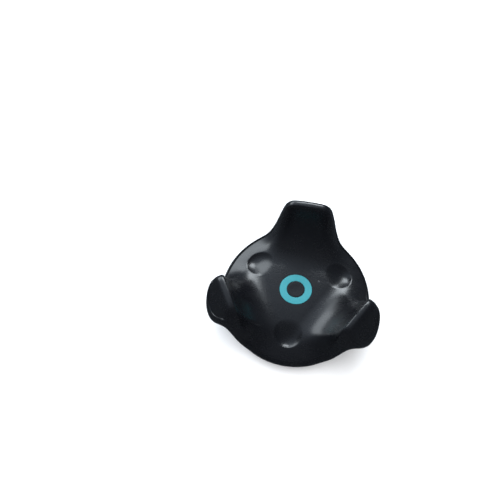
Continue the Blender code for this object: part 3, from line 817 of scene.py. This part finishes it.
def make_port(steel, resin, gold):
    """Folded steel shell with a flared lip, its tongue and five contacts."""
    wall = 0.3 * MM
    inside = USB_INNER + 0.8 * MM
    lip = USB_OUTER - 0.3 * MM
    rings = [port_ring(USB_INNER, -0.05 * MM), port_ring(lip, -0.05 * MM), port_ring(USB_OUTER, 0.0),
             port_ring(USB_OUTER, -0.12 * MM), port_ring(lip, -wall), port_ring(inside, -wall)]
    shell = loft("shell", rings, closed=True)
    weld(shell.data)
    height = (USB_TOP + USB_BOTTOM) / 2
    back = block("back", (0.4 * MM, USB_WIDTH - 0.7 * MM, USB_TOP - USB_BOTTOM - 0.7 * MM),
                 (*polar(inside, PORT_SIDE), height), PORT_SIDE, 0.05 * MM)
    port = join_meshes("port", [shell, back])
    place_piece(port, "port_shell_folded", steel, "usb_shell", "tracker")
    middle = (USB_INNER + USB_OUTER) / 2 - 0.1 * MM
    size = (3.6 * MM, 3.8 * MM, 0.55 * MM)
    tongue = block("tongue", size, (*polar(middle, PORT_SIDE), height), PORT_SIDE, 0.12 * MM)
    place_piece(tongue, "port_tongue", resin, "usb_tongue", "tracker")
    strips = []
    for step in range(-2, 3):
        x, y = polar(middle + 0.3 * MM, PORT_SIDE)
        side_x, side_y = polar(step * 0.65 * MM, PORT_SIDE + math.pi / 2)
        centre = (x + side_x, y + side_y, height - 0.28 * MM)
        strips.append(block("strip", (2.6 * MM, 0.32 * MM, 0.08 * MM), centre, PORT_SIDE, 0.03 * MM, 2))
    contacts = sharpen(join_meshes("port_contacts", strips))
    contacts.data.materials.append(gold)
    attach(contacts, "tracker")


# ---------------------------------------------------------------- inner parts

def dress_inner_parts(looks):
    """Give each carried-over node the material of the first word list that its name starts with."""
    for name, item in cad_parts.items():
        for starts, material in looks:
            if name.startswith(starts):
                item.data.materials.clear()
                item.data.materials.append(material)
                break


# ---------------------------------------------------------------- stage

def make_camera():
    forward = Vector((0.0, math.cos(CAMERA_TILT), -math.sin(CAMERA_TILT)))
    right = Vector((1.0, 0.0, 0.0))
    up = right.cross(forward)
    place = Vector((AIM_X, AIM_Y, 0.0)) - forward * CAMERA_REACH
    pose = Matrix((right, up, -forward)).transposed().to_4x4()
    pose.translation = place
    pose = pose @ camera_roll(place, forward, right, up)
    lens = bpy.data.cameras.new("camera")
    lens.sensor_width = FILM
    lens.lens = FOCAL_LENGTH
    lens.clip_start = 0.01
    lens.clip_end = 20.0
    camera = link(bpy.data.objects.new("camera", lens))
    camera.matrix_world = Matrix.Rotation(VIEW_TURN, 4, "Z") @ pose
    bpy.context.scene.camera = camera


def camera_roll(place, forward, right, up):
    """Turn about the line of sight to the tracker's middle, seen from the camera."""
    sight = Vector((0.0, 0.0, DISH_HEIGHT)) - place
    axis = Vector((sight.dot(right), sight.dot(up), -sight.dot(forward)))
    return Matrix.Rotation(CAMERA_ROLL, 4, axis.normalized())


def area_light(name, azimuth, elevation, distance, size, power, colour=(1.0, 1.0, 1.0), glossy=True):
    """A soft box aimed at the tracker; its azimuth is counted from the camera's right hand."""
    away = direction_to(azimuth, elevation)
    lamp = bpy.data.lights.new(name, "AREA")
    lamp.shape = "RECTANGLE"
    lamp.size, lamp.size_y = size
    lamp.energy = power
    lamp.color = colour
    item = link(bpy.data.objects.new(name, lamp))
    item.location = away * distance + Vector((0.0, 0.0, 0.02))
    item.rotation_mode = "QUATERNION"
    item.rotation_quaternion = (-away).to_track_quat("-Z", "Y")
    item.visible_glossy = glossy


def make_floor():
    work = bmesh.new()
    bmesh.ops.create_grid(work, x_segments=4, y_segments=4, size=2.5)
    mesh = bpy.data.meshes.new("floor")
    work.to_mesh(mesh)
    work.free()
    floor = link(bpy.data.objects.new("floor", mesh))
    floor.location.z = -0.1 * MM
    material = new_material("pale floor", specular=0.1)
    tone = mix_colours(material, noise(material, 300.0), (0.90, 0.90, 0.905), (0.92, 0.92, 0.925))
    set_looks(material, tone, spread(material, noise(material, 90.0), 0.7, 0.8))
    floor.data.materials.append(material)
    floor.visible_glossy = False


def direction_to(azimuth, elevation):
    """Unit vector towards a light; the azimuth is counted from the camera's right hand."""
    a = math.radians(azimuth) + VIEW_TURN
    e = math.radians(elevation)
    return Vector((math.cos(a) * math.cos(e), math.sin(a) * math.cos(e), math.sin(e)))


def make_lights():
    """Surroundings that glow at the upper left, two windows there, and a fill without reflections."""
    world = bpy.data.worlds.new("studio")
    bpy.context.scene.world = world
    world.use_nodes = True
    nodes = world.node_tree.nodes
    links = world.node_tree.links
    direction = nodes.new("ShaderNodeTexCoord")
    towards = nodes.new("ShaderNodeVectorMath")
    towards.operation = "DOT_PRODUCT"
    towards.inputs[1].default_value = direction_to(*GLOW_TOWARDS)
    ramp = nodes.new("ShaderNodeValToRGB")
    links.new(direction.outputs["Generated"], towards.inputs[0])
    links.new(towards.outputs["Value"], ramp.inputs["Fac"])
    links.new(ramp.outputs["Color"], nodes["Background"].inputs["Color"])
    stops = ramp.color_ramp.elements
    for place, _ in GLOW_STOPS[1:-1]:
        stops.new(place)
    for stop, (_, level) in zip(stops, GLOW_STOPS):
        stop.color = (*(level * tint for tint in GLOW_TINT), 1.0)
    nodes["Background"].inputs["Strength"].default_value = GLOW_STRENGTH
    area_light("window", 76, 31, WINDOW_REACH, (0.56, 0.54), 9.5, WINDOW_TINT)
    area_light("side window", 122, 21, WINDOW_REACH, (0.90, 0.56), 6.4, WINDOW_TINT)
    area_light("fill", 270, 75, FILL_REACH, (2.4, 2.4), 52.0, glossy=False)


# ---------------------------------------------------------------- everything

make_camera()
make_floor()
make_lights()

SHELL = moulded("shell plastic", (0.0034, 0.0038, 0.0050), (0.0046, 0.0050, 0.0064), (0.24, 0.32))
TEAL = moulded("teal plastic", (0.023, 0.218, 0.255), (0.032, 0.244, 0.284), (0.36, 0.46),
               0.006 * MM, 3000.0)
STEEL = make_metal("plated steel", (0.50, 0.50, 0.49), (0.62, 0.62, 0.61), (0.22, 0.38))
GOLD = make_metal("gold plating", (0.80, 0.56, 0.22), (0.90, 0.68, 0.32), (0.18, 0.30))
RESIN = make_chip_resin()
RUBBER = make_rubber()
BOARD = make_board_material()
CERAMIC = make_ceramic()
FLEX = make_flex_material()
SMOKE = make_smoke()
LEAD = moulded("lead sheath", (0.25, 0.012, 0.010), (0.32, 0.018, 0.014), (0.35, 0.5), 0.01 * MM, 1500.0)

make_top_cover(SHELL)
make_bottom_cover(SHELL)
make_button(SHELL, TEAL)
make_light_pipe(SMOKE)
make_docking_pad(RUBBER)
make_tripod_nut(STEEL)
make_contacts(RESIN, GOLD)
make_screws(STEEL)
make_port(STEEL, RESIN, GOLD)
dress_inner_parts([
    (("main_board", "usb_board", "wing_face_board", "wing_end_board", "dimple_board"), BOARD),
    (("processor", "motion_sensor", "charger_chip", "power_switch"), RESIN),
    (("wing_face_sensor", "wing_end_sensor", "dimple_sensor"), make_sensor_resin()),
    (("antenna", "battery_connector", "switch_plunger", "status_light"), CERAMIC),
    (("battery_foam",), make_foam()),
    (("battery_lead",), LEAD),
    (("battery",), make_foil()),
    (("radio_shield",), STEEL),
    (("wing_flex",), FLEX),
])
bpy.context.scene.view_settings.view_transform = "Standard"
